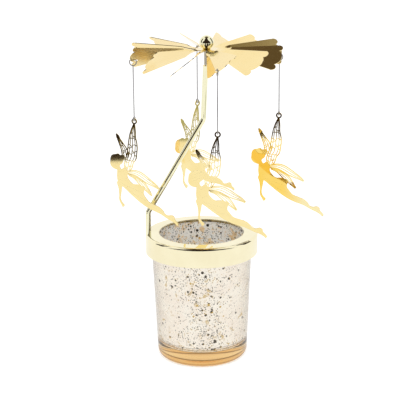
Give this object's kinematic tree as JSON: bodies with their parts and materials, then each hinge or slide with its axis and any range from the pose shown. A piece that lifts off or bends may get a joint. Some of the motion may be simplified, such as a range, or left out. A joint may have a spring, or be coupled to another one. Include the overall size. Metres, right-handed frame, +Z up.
{
  "type": "angel chime carousel",
  "caption": "Candle-driven spinning carousel: a tealight cup, a rim ring with a bent arm, a bladed rotor on a needle point, and flat hanging fairy charms.",
  "frame": {"origin": "centre of the cup's flat underside, on the cup's own axis", "axes": "+Z up, -Y towards the viewer, +X from the arm's foot towards the rotor's axis"},
  "size_m": [0.1207, 0.0973, 0.1861],
  "materials": {
    "cup_glass": "clear amber glass, mottled silvering inside",
    "gold_sheet": "polished",
    "gold_rod": "mirror polished",
    "tube_metal": "dull",
    "steel_wire": "drawn wire",
    "gold_charm": "polished etched sheet"
  },
  "bodies": {
    "cup": {"glass_cup": "cup_glass"},
    "stand": {"rim_ring": "gold_sheet", "support_arm": "gold_rod", "pivot_needle": "steel_wire"},
    "rotor": {"rotor_disc": "gold_sheet", "hub_sleeve": "tube_metal", "ball_finial": "gold_rod", "bearing_cup": "tube_metal"},
    "hanger_right": {"hanger_right": "steel_wire"},
    "fairy_right": {"fairy_right": "gold_charm"},
    "hanger_back": {"hanger_back": "steel_wire"},
    "fairy_back": {"fairy_back": "gold_charm"},
    "hanger_left": {"hanger_left": "steel_wire"},
    "fairy_left": {"fairy_left": "gold_charm"},
    "hanger_front": {"hanger_front": "steel_wire"},
    "fairy_front": {"fairy_front": "gold_charm"}
  },
  "joints": [
    {"name": "ring_lift", "type": "slide", "parent": "cup", "child": "stand", "axis": [0, 0, 1], "range_m": [0, 0.1]},
    {"name": "rotor_spin", "type": "hinge", "parent": "stand", "child": "rotor", "pos_m": [0.0036, 0, 0.1813], "axis": [0, 0, 1], "continuous": true},
    {"name": "hanger_right_swing", "type": "hinge", "parent": "rotor", "child": "hanger_right", "pos_m": [0.04389, 0.00533, 0.17276], "axis": [0.1311, -0.9914, 0], "range_deg": [-5, 30]},
    {"name": "fairy_right_rock", "type": "hinge", "parent": "hanger_right", "child": "fairy_right", "pos_m": [0.04389, 0.00533, 0.13996], "axis": [0.2588, 0.9659, 0], "range_deg": [-35, 35]},
    {"name": "hanger_back_swing", "type": "hinge", "parent": "rotor", "child": "hanger_back", "pos_m": [-0.00173, 0.04029, 0.17276], "axis": [0.9914, 0.1311, 0], "range_deg": [-5, 30]},
    {"name": "fairy_back_rock", "type": "hinge", "parent": "hanger_back", "child": "fairy_back", "pos_m": [-0.00173, 0.04029, 0.13996], "axis": [-0.5446, 0.8387, 0], "range_deg": [-35, 35]},
    {"name": "hanger_left_swing", "type": "hinge", "parent": "rotor", "child": "hanger_left", "pos_m": [-0.03664, -0.00551, 0.17254], "axis": [-0.1356, 0.9908, 0], "range_deg": [-5, 30]},
    {"name": "fairy_left_rock", "type": "hinge", "parent": "hanger_left", "child": "fairy_left", "pos_m": [-0.03664, -0.00551, 0.13974], "axis": [0.4226, 0.9063, 0], "range_deg": [-35, 35]},
    {"name": "hanger_front_swing", "type": "hinge", "parent": "rotor", "child": "hanger_front", "pos_m": [0.00889, -0.0403, 0.17281], "axis": [-0.9915, -0.1302, 0], "range_deg": [-5, 30]},
    {"name": "fairy_front_rock", "type": "hinge", "parent": "hanger_front", "child": "fairy_front", "pos_m": [0.00889, -0.0403, 0.14001], "axis": [0, 1, 0], "range_deg": [-35, 35]}
  ]
}
